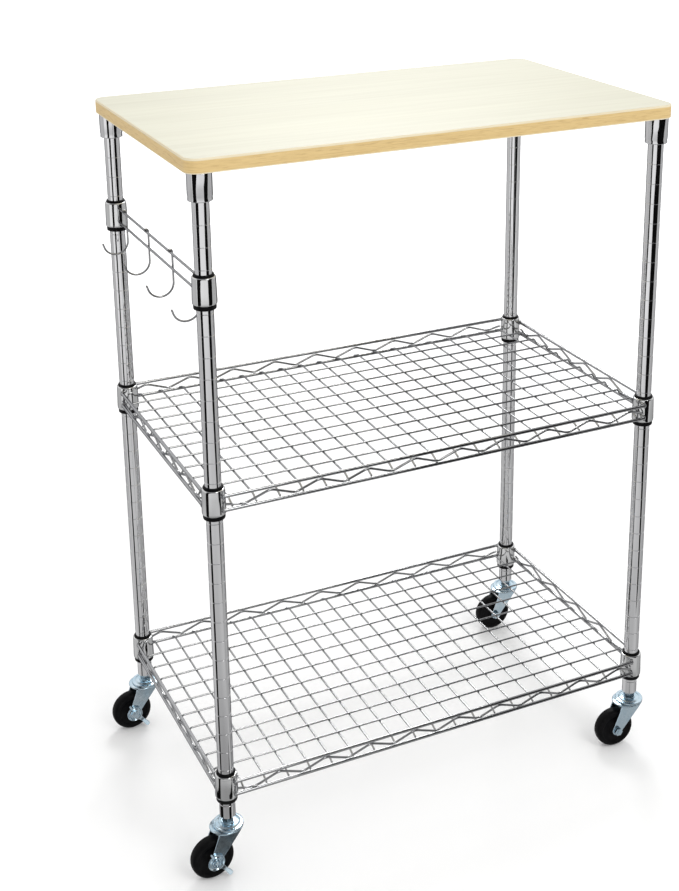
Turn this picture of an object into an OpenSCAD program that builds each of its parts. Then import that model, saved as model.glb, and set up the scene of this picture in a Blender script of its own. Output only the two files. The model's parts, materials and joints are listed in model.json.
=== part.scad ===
// Rolling kitchen island cart: laminated top on four grooved chrome posts,
// two wire shelves, a side rail with sliding hooks and four stem casters.
// Millimetres, +Z up. The origin is on the floor under the middle of the top.
// X runs along the wide side, Y along the depth, and the front faces -Y.

/* [Overall size] */
// Width of the top, along X
top_w = 609.6; // [500:1:900]
// Depth of the top, along Y
top_d = 360.7; // [320:1:500]
// Height of the top's upper face above the floor
height = 883.9; // [860:1:960]

/* [Top] */
// Thickness of the finished top
top_t = 16.5; // [14:0.5:30]
// Radius of the top's corners, seen from above
corner_r = 15; // [8:1:30]
// Thickness of the laminate sheet on the upper face
laminate_t = 0.8; // [0.6:0.1:1.2]
// Thickness of the backing sheet on the lower face
backing_t = 0.5; // [0.4:0.1:1]
// Thickness of the band around the edge
band_t = 1.2; // [0.8:0.1:2]
// Radius of the band's rounded upper rim
band_round = 1; // [0.4:0.1:1.1]

/* [Posts] */
// Distance from the top's side edge to the posts' axes
post_inset_x = 17.2; // [16:0.1:40]
// Distance from the top's front edge to the posts' axes
post_inset_y = 13.9; // [13.5:0.1:40]
// Outer diameter of a post
post_dia = 19; // [18:0.5:22]
// Wall thickness of a post
post_wall = 1.2; // [1:0.1:2]
// Height of the posts' lower ends above the floor
post_bottom = 77; // [76:0.5:80]
// Height of the first groove above a post's lower end
first_groove = 17.9; // [15:0.1:20]
// Distance from one post groove to the next
groove_pitch = 24.7; // [24:0.1:25.4]
// Width of a post groove
groove_w = 1.4; // [1:0.1:2]
// Depth of a post groove
groove_depth = 0.4; // [0.2:0.1:0.5]

/* [Shelves] */
// Number of groove steps from the lower shelf to the upper shelf
upper_steps = 15; // [12:1:17]
// Number of groove steps from the lower shelf to the hook rail
rail_steps = 25; // [22:1:26]
// Height of a shelf collar
collar_h = 31; // [28:1:34]
// Outer diameter of a collar at its foot
collar_dia = 27.6; // [27:0.1:29]
// Diameter of the rods along the shelf edges
rod_dia = 4.2; // [3.6:0.1:5]
// Distance from the upper edge rod to the lower one
rod_gap = 17; // [15:0.5:18]
// Diameter of the mesh wires
mesh_dia = 2.4; // [2:0.1:2.8]
// Diameter of the zigzag wire between the edge rods
truss_dia = 2.8; // [2.2:0.1:3]
// Number of wires along X in one shelf
long_count = 10; // [8:1:11]
// Distance between wires along X
long_pitch = 30; // [26:1:31]
// Number of wires along Y in one shelf
cross_count = 20; // [16:1:20]
// Distance between wires along Y
cross_pitch = 28.4; // [26:0.1:28.8]

/* [Hook rail] */
// Diameter of the two rail wires
rail_dia = 3; // [2.6:0.1:4]
// Distance from the upper rail wire to the lower one
rail_gap = 18; // [16:0.5:20]
// Diameter of the hooks' wire
hook_dia = 2.4; // [2:0.1:3]
// Radius of the hooks' open bend, at the middle of the wire
hook_r = 15.4; // [12:0.1:20]
// Length of a hook's straight shank
hook_shank = 36; // [30:1:45]
// Distance between hooks along the rail
hook_pitch = 90.4; // [70:0.1:92]

/* [Casters] */
// Wheel diameter
wheel_dia = 53.4; // [48:0.2:56]
// Wheel width
wheel_w = 18; // [16:0.5:20]
// Distance from the swivel axis to the wheel axle
trail = 22.5; // [16:0.5:24]
// Direction the front left caster trails in, from +X
trail_angle_fl = 184; // [0:1:360]
// Direction the front right caster trails in, from +X
trail_angle_fr = 176; // [0:1:360]
// Direction the back left caster trails in, from +X
trail_angle_bl = 183; // [0:1:360]
// Direction the back right caster trails in, from +X
trail_angle_br = 180; // [0:1:360]

/* [Hidden] */
$fn = 64;
eps = 0.01;
run = 0.05;      // radial clearance of a running fit
air = 0.3;       // clearance between parts that only pass each other
weld = 0.3;      // how far crossing wires sink into each other at a weld

// posts and their places
px = top_w / 2 - post_inset_x;
py = top_d / 2 - post_inset_y;
FL = [-px, -py];
FR = [px, -py];
BL = [-px, py];
BR = [px, py];
CORNERS = [FL, FR, BL, BR];
post_r = post_dia / 2;
top_under = height - top_t;
socket_h = 31;
socket_roof = 3;
socket_r = 13.8;
post_top = top_under - socket_roof;
flange_t = 1.6;
screw_reach = 23;
screw_bite = 10;

// grooves: the lower shelf sits in the second one
lower_groove = post_bottom + first_groove + groove_pitch;
upper_groove = lower_groove + upper_steps * groove_pitch;
rail_groove = lower_groove + rail_steps * groove_pitch;
groove_count = floor((top_under - socket_h - post_bottom - first_groove) / groove_pitch);

// collars and the tapered sleeves inside them, measured from the groove
collar_rise = 16.6;
collar_drop = collar_h - collar_rise;
sleeve_above = 2.4;
sleeve_below = 5.6;
sleeve_top_r = 11.4;
sleeve_foot_r = 12.6;
collar_r = collar_dia / 2;
slit = 0.8;

// shelf edges and mesh, measured from the groove
rod_r = rod_dia / 2;
rod_out_y = 13.5;                   // from the posts' axes out to the front and back rods
rod_out_x = 10;                     // from the posts' axes out to the side rods
rod_stop_x = 7;                     // how far short of a post's axis the front and back rods end
rod_stop_y = 11.2;                  // how far short of a post's axis the side rods end
rod_high = 9.9;
rod_low = rod_high - rod_gap;
mesh_r = mesh_dia / 2;
truss_r = truss_dia / 2;
cross_level = 0;
long_level = cross_level + mesh_dia - weld;
mesh_short = truss_r + 0.2;         // how far short of the edge rods' axes a mesh wire ends
edge_bend = 6.4;                    // length over which a mesh wire drops to the edge rod
zig_step = 30.2;                    // from a peak of the zigzag to the next valley
zig_long = 255.4;                   // the first valley, from the middle of the long edge
zig_short = 107.3;                  // the first valley, from the middle of the short edge

// hooks
rail_r = rail_dia / 2;
rail_high = rail_groove + 10.4;
rail_low = rail_high - rail_gap;
hook_wire_r = hook_dia / 2;
curl_r = rail_r + hook_wire_r + air;
hook_y = [for (i = [0 : 3]) 130.4 - i * hook_pitch];

// casters
axle_z = wheel_dia / 2;
nut_flats = 13;
stem_r = 5;
axle_r = 3;
crown_z = 62;
crown_t = 2.4;
crown_r = 18;
crown_ahead = 5;                    // how far the crown reaches ahead of its round, over the wheel
ball_dia = 2.2;
ball_ring_r = 10;
ball_count = 14;
plate_r = 18.4;
plate_z = crown_z + crown_t + 1.9;
plate_t = 2;
washer_z = plate_z + plate_t;
leg_t = 2;
leg_in = wheel_w / 2 + 1;           // from the wheel's middle plane to a leg's inner face
leg_back = 12.5;                    // the leg's width under the crown, behind the swivel axis
leg_ahead = 16.5;                   // and ahead of it
leg_end_r = 7;
leg_bend_r = 2.5;
lever_t = 1.6;
lever_r = 10.8;
lever_w = 6.6;
lever_reach = 28;                   // from the axle to the lever's bent foot tab
lever_angle = -134;                 // the tab's direction from the trailing direction, below the axle
ear_reach = 17;                     // from the axle to the release ear's tip
ear_w = 4.4;
ear_angle = 58;                     // the ear's direction, above the axle
brake_gap = lever_t + 2 * air;      // room for a lever between the fork and the bolt's head

// ---- helpers ----

// one of the four corners by name
module at(c) translate([c[0], c[1], 0]) children();

// the top's outline, moved inward by a margin
module outline(margin) {
    r = corner_r - margin;
    hull()
        for (sx = [-1, 1], sy = [-1, 1])
            translate([sx * (top_w / 2 - corner_r), sy * (top_d / 2 - corner_r)]) circle(r);
}

// points of a ring of radius r about point c, square to direction d
function unit(v) = v / norm(v);
function side_of(d) = abs(unit(d)[2]) < 0.9 ? unit(cross(d, [0, 0, 1])) : unit(cross(d, [0, 1, 0]));
function ring(c, d, side, r, n) = let (s = unit(side - (side * unit(d)) * unit(d)), t = cross(unit(d), s))
    [for (i = [0 : n - 1]) c + r * (cos(360 * i / n) * s + sin(360 * i / n) * t)];
function along(p, i) = i == 0 ? p[1] - p[0]
    : i == len(p) - 1 ? p[i] - p[i - 1]
    : unit(p[i + 1] - p[i]) + unit(p[i] - p[i - 1]);

// round wire of radius r through points that all lie in one plane with normal side
module wire(p, r, side, n = 8) {
    k = len(p);
    pts = [for (i = [0 : k - 1]) each ring(p[i], along(p, i), side, r / cos(180 / n), n)];
    walls = [for (i = [0 : k - 2], j = [0 : n - 1])
        let (a = i * n + j, b = i * n + (j + 1) % n) [a, b, b + n, a + n]];
    caps = [[for (j = [n - 1 : -1 : 0]) j], [for (j = [0 : n - 1]) (k - 1) * n + j]];
    polyhedron(points = pts, faces = concat(walls, caps));
}

// straight round rod from a to b
module rod(a, b, r) {
    d = b - a;
    translate(a)
        rotate([0, acos(d[2] / norm(d)), atan2(d[1], d[0])])
            cylinder(h = norm(d), r = r);
}

module hexagon(flats, h) cylinder(h = h, r = flats / 2 / cos(30), $fn = 6);

// ---- top ----

module tabletop_core() {
    color("burlywood")
        translate([0, 0, top_under + backing_t])
            linear_extrude(top_t - laminate_t - backing_t) outline(band_t);
}

module tabletop_laminate() {
    color("ivory")
        translate([0, 0, height - laminate_t]) linear_extrude(laminate_t) outline(band_t);
}

module tabletop_backing() {
    color("antiquewhite")
        translate([0, 0, top_under]) linear_extrude(backing_t) outline(band_t);
}

// the band's cross-section, with its outer face along +X and a rounded upper rim
module band_profile() {
    difference() {
        square([band_t, top_t]);
        translate([band_t - band_round, top_t - band_round]) difference() {
            square(band_round + eps);
            circle(band_round);
        }
    }
}

module tabletop_edge_band() {
    straight_x = top_w - 2 * corner_r;
    straight_y = top_d - 2 * corner_r;
    color("tan") translate([0, 0, top_under]) {
        for (a = [0, 180]) rotate(a) {
            translate([-straight_x / 2, -top_d / 2 + band_t, 0])
                rotate([90, 0, 90]) mirror([1, 0]) linear_extrude(straight_x) band_profile();
            translate([top_w / 2 - band_t, straight_y / 2, 0])
                rotate([90, 0, 0]) linear_extrude(straight_y) band_profile();
        }
        for (i = [0 : 3])
            translate([(i == 0 || i == 3 ? 1 : -1) * straight_x / 2, (i < 2 ? 1 : -1) * straight_y / 2, 0])
                rotate(i * 90)
                    rotate_extrude(angle = 90) translate([corner_r - band_t, 0]) band_profile();
    }
}

// ---- sockets that hold the posts under the top ----

// the ears lie along the diagonal through the corner, towards the middle of the top
module top_socket(c) {
    inward = atan2(-c[1], -c[0] * 0.6);
    color("silver") at(c) {
        difference() {
            union() {
                translate([0, 0, top_under - socket_h])
                    cylinder(h = socket_h, r1 = socket_r - 0.3, r2 = socket_r);
                translate([0, 0, top_under - flange_t]) rotate(inward) linear_extrude(flange_t) hull() {
                    circle(socket_r - 2);
                    translate([screw_reach, -9]) circle(5);
                    translate([screw_reach, 9]) circle(5);
                }
            }
            translate([0, 0, top_under - socket_h - eps])
                cylinder(h = socket_h - socket_roof + eps, r = post_r + run);
            for (s = [-1, 1])
                rotate(inward) translate([screw_reach, 9 * s, top_under - flange_t - eps])
                    cylinder(h = flange_t + 2 * eps, r = 2.1);
        }
    }
}

// pan-head screws up through the flange ears into the board
module socket_screws() {
    color("gainsboro")
        for (c = CORNERS, s = [-1, 1])
            at(c) rotate(atan2(-c[1], -c[0] * 0.6))
                translate([screw_reach, 9 * s, top_under - flange_t - 2]) {
                    cylinder(h = 2, r1 = 2.6, r2 = 3.8);
                    cylinder(h = 2 + flange_t + screw_bite, r = 1.9);
                }
}

// ---- posts ----

module post(c) {
    z0 = post_bottom;
    notch = groove_w / 2;
    outer = [for (i = [0 : groove_count - 1])
        let (z = z0 + first_groove + i * groove_pitch)
            each [[post_r, z - notch], [post_r - groove_depth, z - notch / 3],
                  [post_r - groove_depth, z + notch / 3], [post_r, z + notch]]];
    color("silver") at(c)
        rotate_extrude()
            polygon(concat([[post_r - post_wall, z0], [post_r, z0]], outer,
                           [[post_r, post_top], [post_r - post_wall, post_top]]));
}

// threaded plugs pressed into the posts' lower ends
module post_foot_inserts() {
    color("gray")
        for (c = CORNERS) at(c) translate([0, 0, post_bottom])
            difference() {
                cylinder(h = 24, r = post_r - post_wall - 0.02);
                translate([0, 0, -eps]) cylinder(h = 20, r = 4 + run);
            }
}

// ---- collars and sleeves ----

function sleeve_r(z, groove) =
    let (foot = groove - collar_drop - sleeve_below, head = groove + collar_rise + sleeve_above)
        sleeve_foot_r + (sleeve_top_r - sleeve_foot_r) * (z - foot) / (head - foot);

module collar(groove) {
    low = groove - collar_drop;
    high = groove + collar_rise;
    rotate_extrude()
        polygon([[sleeve_r(low, groove) + run, low], [collar_r - 0.5, low], [collar_r, low + 1],
                 [collar_r - 0.6, high - 0.8], [collar_r - 1.2, high], [sleeve_r(high, groove) + run, high]]);
}

// two half shells with a slit at each side and a rib that seats in the post's groove
module sleeve(groove) {
    low = groove - collar_drop - sleeve_below;
    high = groove + collar_rise + sleeve_above;
    difference() {
        rotate_extrude()
            polygon([[post_r + run, low], [sleeve_foot_r - 0.4, low], [sleeve_foot_r, low + 0.4],
                     [sleeve_top_r, high - 0.3], [sleeve_top_r - 0.3, high], [post_r + run, high],
                     [post_r + run, groove + 0.4], [post_r - groove_depth + 0.15, groove + 0.15],
                     [post_r - groove_depth + 0.15, groove - 0.15], [post_r + run, groove - 0.4]]);
        translate([-collar_r, -slit / 2, low - eps]) cube([2 * collar_r, slit, high - low + 2 * eps]);
    }
}

module collars(groove, corners) color("silver") for (c = corners) at(c) collar(groove);
module sleeves(groove, corners) color([0.06, 0.06, 0.07]) for (c = corners) at(c) sleeve(groove);

// ---- shelf wires ----

module edge_rods(groove) {
    ex = px + rod_out_x;
    ey = py + rod_out_y;
    color("silver")
        for (z = [groove + rod_high, groove + rod_low], s = [-1, 1]) {
            rod([-px + rod_stop_x, s * ey, z], [px - rod_stop_x, s * ey, z], rod_r);
            rod([s * ex, -py + rod_stop_y, z], [s * ex, py - rod_stop_y, z], rod_r);
        }
}

// zigzag between two edge rods: valleys on the lower rod, peaks on the upper one
function zigzag(first, last) =
    let (n = floor((last - first) / zig_step))
        [for (i = [0 : n]) [first + i * zig_step, i % 2]];

// half is from the middle to the end of the edge rods
module truss_run(half, first, groove) {
    low = groove + rod_low + rod_r + truss_r - weld;
    high = groove + rod_high - rod_r - truss_r + weld;
    turn = 2.2;
    p = [for (q = zigzag(-first, half - 4))
        let (z = q[1] == 0 ? low : high, s = q[1] == 0 ? -1 : 1)
            each [[q[0] - turn, 0, z - s * 1], [q[0], 0, z], [q[0] + turn, 0, z - s * 1]]];
    start = [-half + 2, 0, low + 4];
    finish = [half - 2, 0, low + 4];
    wire(concat([start], p, [finish]), truss_r, [0, 1, 0]);
}

module truss_wires(groove) {
    color("silver") for (a = [0, 180]) rotate(a) {
        translate([0, -py - rod_out_y, 0]) truss_run(px - rod_stop_x, zig_long, groove);
        translate([px + rod_out_x, 0, 0]) rotate(90) truss_run(py - rod_stop_y, zig_short, groove);
    }
}

// one mesh wire along X: level in the middle, its ends bent down onto the edge rods
module mesh_wire(half, level, r) {
    drop = rod_low + sqrt(pow(rod_r + r - weld, 2) - pow(mesh_short, 2));
    bend = [[0, drop], [edge_bend * 0.25, drop + 0.3], [edge_bend * 0.72, level - 0.5], [edge_bend, level]];
    wire(concat([for (p = bend) [p[0] - half, 0, p[1]]],
                [for (i = [3 : -1 : 0]) [half - bend[i][0], 0, bend[i][1]]]), r, [0, 1, 0]);
}

module long_wires(groove) {
    color("silver")
        for (i = [0 : long_count - 1])
            translate([0, (i - (long_count - 1) / 2) * long_pitch, groove])
                mesh_wire(px + rod_out_x - mesh_short, long_level, mesh_r);
}

module cross_wires(groove) {
    color("silver")
        for (i = [0 : cross_count - 1])
            translate([(i - (cross_count - 1) / 2) * cross_pitch, 0, groove])
                rotate(90) mesh_wire(py + rod_out_y - mesh_short, cross_level, mesh_r);
}

// ---- hook rail and hooks ----

module hook_rail_wires() {
    reach = py - collar_r + 1.2;
    color("silver")
        for (z = [rail_high, rail_low]) rod([-px, -reach, z], [-px, reach, z], rail_r);
}

// a curl over the upper rail wire, a shank inside the rail and an open bend facing out
module hook(i) {
    bend_z = rail_high - hook_shank;
    curl = [for (a = [180 : -20 : 0]) [curl_r * cos(a), 0, rail_high + curl_r * sin(a)]];
    bend = [for (a = [0 : -15 : -165]) [curl_r - hook_r + hook_r * cos(a), 0, bend_z + hook_r * sin(a)]];
    tip = bend[len(bend) - 1] + [-1.6, 0, 4.4];
    color("silver") translate([-px, hook_y[i - 1], 0])
        wire(concat(curl, bend, [tip]), hook_wire_r, [0, 1, 0], 10);
}

// ---- casters ----

// threaded stem above, king pin and its riveted head below
module caster_stems() {
    color("lightsteelblue") for (c = CORNERS) at(c) {
        translate([0, 0, crown_z - 0.2]) cylinder(h = washer_z - crown_z + 0.2, r = stem_r);
        translate([0, 0, washer_z - eps]) cylinder(h = post_bottom + 16 - washer_z, r = 4);
        translate([0, 0, crown_z - 2.4]) cylinder(h = 2.2, r1 = 5, r2 = 7);
    }
}

module caster_lock_nuts() {
    color("lightsteelblue") for (c = CORNERS) at(c) difference() {
        union() {
            translate([0, 0, washer_z + 0.02]) cylinder(h = 1.4, r = 8.4);
            translate([0, 0, washer_z + 1.4]) hexagon(nut_flats, post_bottom - washer_z - 1.4 - 0.02);
        }
        translate([0, 0, washer_z - 1]) cylinder(h = 20, r = 4 + run);
    }
}

// pressed dish that covers the ball race
module caster_top_plates() {
    rim = plate_r;
    color("lightsteelblue") for (c = CORNERS) at(c)
        rotate_extrude()
            polygon([[stem_r + run, plate_z + 0.4], [11.4, plate_z + 0.4], [13, plate_z - 0.3],
                     [rim - 1.2, plate_z - 0.8], [rim - 1.2, plate_z - 1.7], [rim, plate_z - 1.7],
                     [rim, plate_z], [rim - 0.8, plate_z + 0.8], [14, plate_z + 1.2],
                     [12, plate_z + plate_t], [stem_r + run, plate_z + plate_t]]);
}

module caster_swivel_balls() {
    lift = crown_z + crown_t + 0.02 + ball_dia / 2;
    color("silver") for (c = CORNERS, i = [0 : ball_count - 1])
        at(c) rotate(i * 360 / ball_count) translate([ball_ring_r, 0, lift])
            sphere(d = ball_dia, $fn = 24);
}

// everything below works in a caster's own frame: swivel axis at the origin, trailing along +X
function trail_of(c) =
    c == FL ? trail_angle_fl : c == FR ? trail_angle_fr : c == BL ? trail_angle_bl : trail_angle_br;

module caster(c) at(c) rotate(trail_of(c)) children();

module fork_leg() {
    hull() {
        translate([trail, axle_z]) circle(leg_end_r);
        translate([-leg_back, crown_z - leg_bend_r]) square([leg_back + leg_ahead, leg_bend_r + 0.4]);
    }
}

module fork(c) {
    color("lightsteelblue") caster(c) difference() {
        union() {
            translate([0, 0, crown_z]) linear_extrude(crown_t) hull() {
                circle(crown_r);
                translate([crown_ahead, 0]) circle(crown_r);
            }
            for (s = [-1, 1]) translate([0, s * (leg_in + leg_t / 2) + leg_t / 2, 0])
                rotate([90, 0, 0]) linear_extrude(leg_t) fork_leg();
        }
        translate([0, 0, crown_z - 1]) cylinder(h = crown_t + 2, r = stem_r + run);
        translate([trail, leg_in + leg_t + 1, axle_z]) rotate([90, 0, 0])
            cylinder(h = 2 * leg_in + 2 * leg_t + 2, r = axle_r + run);
    }
}

// the bolt's head is on the side that faces the front when the caster trails to the left
module axle_bolt(c, head) {
    reach = leg_in + leg_t;
    color("silver") caster(c) translate([trail, 0, axle_z]) {
        translate([0, reach + head, 0]) rotate([90, 0, 0])
            cylinder(h = 2 * reach + head + 5.4, r = axle_r);
        translate([0, reach + head + 3, 0]) rotate([90, 0, 0]) cylinder(h = 3, r1 = 4.6, r2 = 5.6);
    }
}

module axle_nut(c) {
    color("silver") caster(c) translate([trail, -leg_in - leg_t, axle_z]) rotate([90, 0, 0])
        difference() {
            hexagon(10, 4.6);
            translate([0, 0, -1]) cylinder(h = 8, r = axle_r + run);
        }
}

// solid wheel with a crowned tread and a recessed web on each side
module wheel(c) {
    half = wheel_w / 2;
    rim = wheel_dia / 2;
    color([0.05, 0.05, 0.055]) caster(c) translate([trail, 0, axle_z]) rotate([90, 0, 0])
        rotate_extrude($fn = 96)
            polygon([[5, -half], [8.5, -half], [9.5, 2 - half], [rim - 7, 2 - half], [rim - 5.5, -half + 0.6],
                     [rim - 3.4, 0.8 - half], [rim - 1, 3 - half], [rim, 6 - half], [rim, half - 6],
                     [rim - 1, half - 3], [rim - 3.4, half - 0.8], [rim - 5.5, half - 0.6],
                     [rim - 7, half - 2], [9.5, half - 2], [8.5, half], [5, half]]);
}

module hub_bush(c) {
    color("dimgray") caster(c) translate([trail, wheel_w / 2 + 0.6, axle_z]) rotate([90, 0, 0])
        difference() {
            cylinder(h = wheel_w + 1.2, r = 4.98);
            translate([0, 0, -1]) cylinder(h = wheel_w + 4, r = axle_r + run);
        }
}

// a flat arm from the disc with its end bent outward
module lever_tab(reach, width, bent) {
    translate([lever_r - 3, -width / 2, 0]) cube([reach - lever_r + 3, width, lever_t]);
    translate([reach - lever_t, -width / 2, -bent]) cube([lever_t, width, bent + lever_t]);
}

// stamped lever on the axle: a dished disc with a foot tab below and a release ear above, both bent outward
module brake_lever(c) {
    color("lightsteelblue") caster(c)
        translate([trail, leg_in + leg_t + air + lever_t, axle_z]) rotate([90, 0, 0]) difference() {
            union() {
                cylinder(h = lever_t, r = lever_r);
                rotate(lever_angle) lever_tab(lever_reach, lever_w, 2.8);
                rotate(ear_angle) lever_tab(ear_reach, ear_w, 3.2);
            }
            translate([0, 0, -1]) cylinder(h = lever_t + 2, r = axle_r + run);
        }
}

tabletop_core();
tabletop_laminate();
tabletop_backing();
tabletop_edge_band();
top_socket(FL);  // top_socket_fl
top_socket(FR);  // top_socket_fr
top_socket(BL);  // top_socket_bl
top_socket(BR);  // top_socket_br
socket_screws();
post(FL);  // post_fl
post(FR);  // post_fr
post(BL);  // post_bl
post(BR);  // post_br
post_foot_inserts();
collars(upper_groove, CORNERS);  // upper_shelf_collars
edge_rods(upper_groove);  // upper_shelf_edge_rods
truss_wires(upper_groove);  // upper_shelf_truss_wires
long_wires(upper_groove);  // upper_shelf_long_wires
cross_wires(upper_groove);  // upper_shelf_cross_wires
sleeves(upper_groove, CORNERS);  // upper_shelf_sleeves
collars(lower_groove, CORNERS);  // lower_shelf_collars
edge_rods(lower_groove);  // lower_shelf_edge_rods
truss_wires(lower_groove);  // lower_shelf_truss_wires
long_wires(lower_groove);  // lower_shelf_long_wires
cross_wires(lower_groove);  // lower_shelf_cross_wires
sleeves(lower_groove, CORNERS);  // lower_shelf_sleeves
collars(rail_groove, [FL, BL]);  // hook_rail_collars
hook_rail_wires();
sleeves(rail_groove, [FL, BL]);  // hook_rail_sleeves
hook(1);  // hook_1
hook(2);  // hook_2
hook(3);  // hook_3
hook(4);  // hook_4
caster_stems();
caster_lock_nuts();
caster_top_plates();
caster_swivel_balls();
fork(FL);  // fork_fl
fork(FR);  // fork_fr
fork(BL);  // fork_bl
fork(BR);  // fork_br
axle_bolt(FL, brake_gap);  // axle_bolt_fl
axle_bolt(FR, 0);  // axle_bolt_fr
axle_bolt(BL, brake_gap);  // axle_bolt_bl
axle_bolt(BR, 0);  // axle_bolt_br
axle_nut(FL);  // axle_nut_fl
axle_nut(FR);  // axle_nut_fr
axle_nut(BL);  // axle_nut_bl
axle_nut(BR);  // axle_nut_br
wheel(FL);  // wheel_fl
wheel(FR);  // wheel_fr
wheel(BL);  // wheel_bl
wheel(BR);  // wheel_br
hub_bush(FL);  // hub_bush_fl
hub_bush(FR);  // hub_bush_fr
hub_bush(BL);  // hub_bush_bl
hub_bush(BR);  // hub_bush_br
brake_lever(FL);  // brake_lever_fl
brake_lever(BL);  // brake_lever_bl
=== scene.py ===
import json
import math

import bmesh
import bpy
from mathutils import Matrix, Vector


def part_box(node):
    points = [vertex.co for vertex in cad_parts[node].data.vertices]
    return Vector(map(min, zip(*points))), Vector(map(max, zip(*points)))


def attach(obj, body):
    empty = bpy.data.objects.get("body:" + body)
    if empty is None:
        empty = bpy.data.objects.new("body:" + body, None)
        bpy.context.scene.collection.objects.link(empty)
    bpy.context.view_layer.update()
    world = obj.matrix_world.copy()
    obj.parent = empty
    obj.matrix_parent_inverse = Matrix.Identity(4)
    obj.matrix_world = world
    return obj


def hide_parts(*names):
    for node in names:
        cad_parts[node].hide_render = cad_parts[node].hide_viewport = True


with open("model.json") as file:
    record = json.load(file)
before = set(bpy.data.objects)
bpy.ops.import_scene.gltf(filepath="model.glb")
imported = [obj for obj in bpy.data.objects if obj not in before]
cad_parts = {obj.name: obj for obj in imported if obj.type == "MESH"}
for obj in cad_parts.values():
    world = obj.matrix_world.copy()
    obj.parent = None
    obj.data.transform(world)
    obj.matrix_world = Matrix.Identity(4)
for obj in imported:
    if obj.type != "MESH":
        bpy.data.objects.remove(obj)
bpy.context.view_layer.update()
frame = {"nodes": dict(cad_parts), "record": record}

CORNERS = ("fl", "fr", "bl", "br")
SHELVES = ("upper_shelf", "lower_shelf")
UP = Vector((0, 0, 1))
ROUND = 64                      # segments around a post, collar or wheel
WIRE_SIDES = 14                 # segments around a wire

# sizes that the frame's boxes don't give, in metres
GROOVE_STEPS = 15               # groove steps between the two shelves
GROOVE_DEPTH = 0.0004
GROOVE_HALF = 0.0005
ROD_R = 0.0021
TRUSS_R = 0.0014
MESH_R = 0.0012
RAIL_R = 0.0015
HOOK_R = 0.0012
LONG_COUNT = 10
CROSS_COUNT = 20
AXLE_Z = (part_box("wheel_fl")[0].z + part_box("wheel_fl")[1].z) / 2
LEG_IN = 0.010                  # from a wheel's middle plane to the fork leg's inner face
LEG_T = 0.002
GRIP = 0.0144                   # from a collar's foot up to the groove that its sleeve grips
BARE_TOP = 0.030                # the stretch of a post, inside its socket, that has no grooves
SLIDE = 0.00005                 # clearance of what sits round a post or a rail wire
COLLAR_R = 0.0138               # outer radius of the sockets and collars
STEM_BORE = 0.00505             # hole of a swivel plate or fork crown round the king pin
PLATE_R = 0.0184                # rim of a swivel plate
CROWN_R = 0.018                 # rim of a fork's crown
CROWN_Z = 0.0622                # height at which a fork's legs meet its crown


# ---------------------------------------------------------------- materials

def material(name, rough=0.5, metal=0.0, color=(0.5, 0.5, 0.5)):
    """A Principled material; its nodes, its shader and a short way to add and link nodes."""
    mat = bpy.data.materials.new(name)
    mat.use_nodes = True
    tree = mat.node_tree
    shader = tree.nodes["Principled BSDF"]
    shader.inputs["Base Color"].default_value = (*color, 1)
    shader.inputs["Roughness"].default_value = rough
    shader.inputs["Metallic"].default_value = metal
    return mat, tree, shader


def node(tree, kind, **values):
    made = tree.nodes.new(kind)
    for key, value in values.items():
        if key in made.inputs:
            made.inputs[key].default_value = value
        else:
            setattr(made, key, value)
    return made


def object_coords(tree, scale):
    """Object coordinates, which are the row frame in metres, scaled on each axis."""
    coords = node(tree, "ShaderNodeTexCoord")
    mapping = node(tree, "ShaderNodeMapping", Scale=scale)
    tree.links.new(coords.outputs["Object"], mapping.inputs["Vector"])
    return mapping.outputs["Vector"]


def noise(tree, vector, scale, detail=4.0, rough=0.5):
    made = node(tree, "ShaderNodeTexNoise", Scale=scale, Detail=detail, Roughness=rough)
    tree.links.new(vector, made.inputs["Vector"])
    return made.outputs["Fac"]


def ramp(tree, factor, stops):
    made = node(tree, "ShaderNodeValToRGB")
    elements = made.color_ramp.elements
    while len(elements) < len(stops):
        elements.new(0.5)
    for element, (place, color) in zip(elements, stops):
        element.position = place
        element.color = (*color, 1)
    tree.links.new(factor, made.inputs["Fac"])
    return made.outputs["Color"]


def spread(tree, factor, low, high):
    made = node(tree, "ShaderNodeMapRange")
    made.inputs["To Min"].default_value = low
    made.inputs["To Max"].default_value = high
    tree.links.new(factor, made.inputs["Value"])
    return made.outputs["Result"]


def bump(tree, shader, height, strength, distance):
    made = node(tree, "ShaderNodeBump", Strength=strength, Distance=distance)
    tree.links.new(height, made.inputs["Height"])
    tree.links.new(made.outputs["Normal"], shader.inputs["Normal"])


def step_up(tree, value, low, high):
    """0 below low, 1 above high."""
    made = node(tree, "ShaderNodeMapRange", interpolation_type="SMOOTHSTEP")
    made.inputs["From Min"].default_value = low
    made.inputs["From Max"].default_value = high
    tree.links.new(value, made.inputs["Value"])
    return made.outputs["Result"]


def mixed(tree, factor, a, b):
    made = node(tree, "ShaderNodeMix", data_type="RGBA")
    tree.links.new(factor, made.inputs["Factor"])
    tree.links.new(a, made.inputs[6])
    tree.links.new(b, made.inputs[7])
    return made.outputs[2]


def chrome(name, color, rough, grain=(1, 1, 1)):
    """Bright plate with faint polishing haze and a very fine orange-peel ripple."""
    mat, tree, shader = material(name, rough, 1.0, color)
    shader.inputs["Specular Tint"].default_value = (0.45, 0.45, 0.47, 1)
    vector = object_coords(tree, grain)
    haze = noise(tree, vector, 55.0, 5.0, 0.6)
    tree.links.new(spread(tree, haze, rough * 0.6, rough * 1.7), shader.inputs["Roughness"])
    tint = ramp(tree, noise(tree, vector, 18.0, 2.0), [
        (0.3, tuple(0.93 * c for c in color)), (0.7, color)])
    tree.links.new(tint, shader.inputs["Base Color"])
    bump(tree, shader, noise(tree, vector, 420.0, 2.0), 0.05, 0.0002)
    return mat


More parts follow.
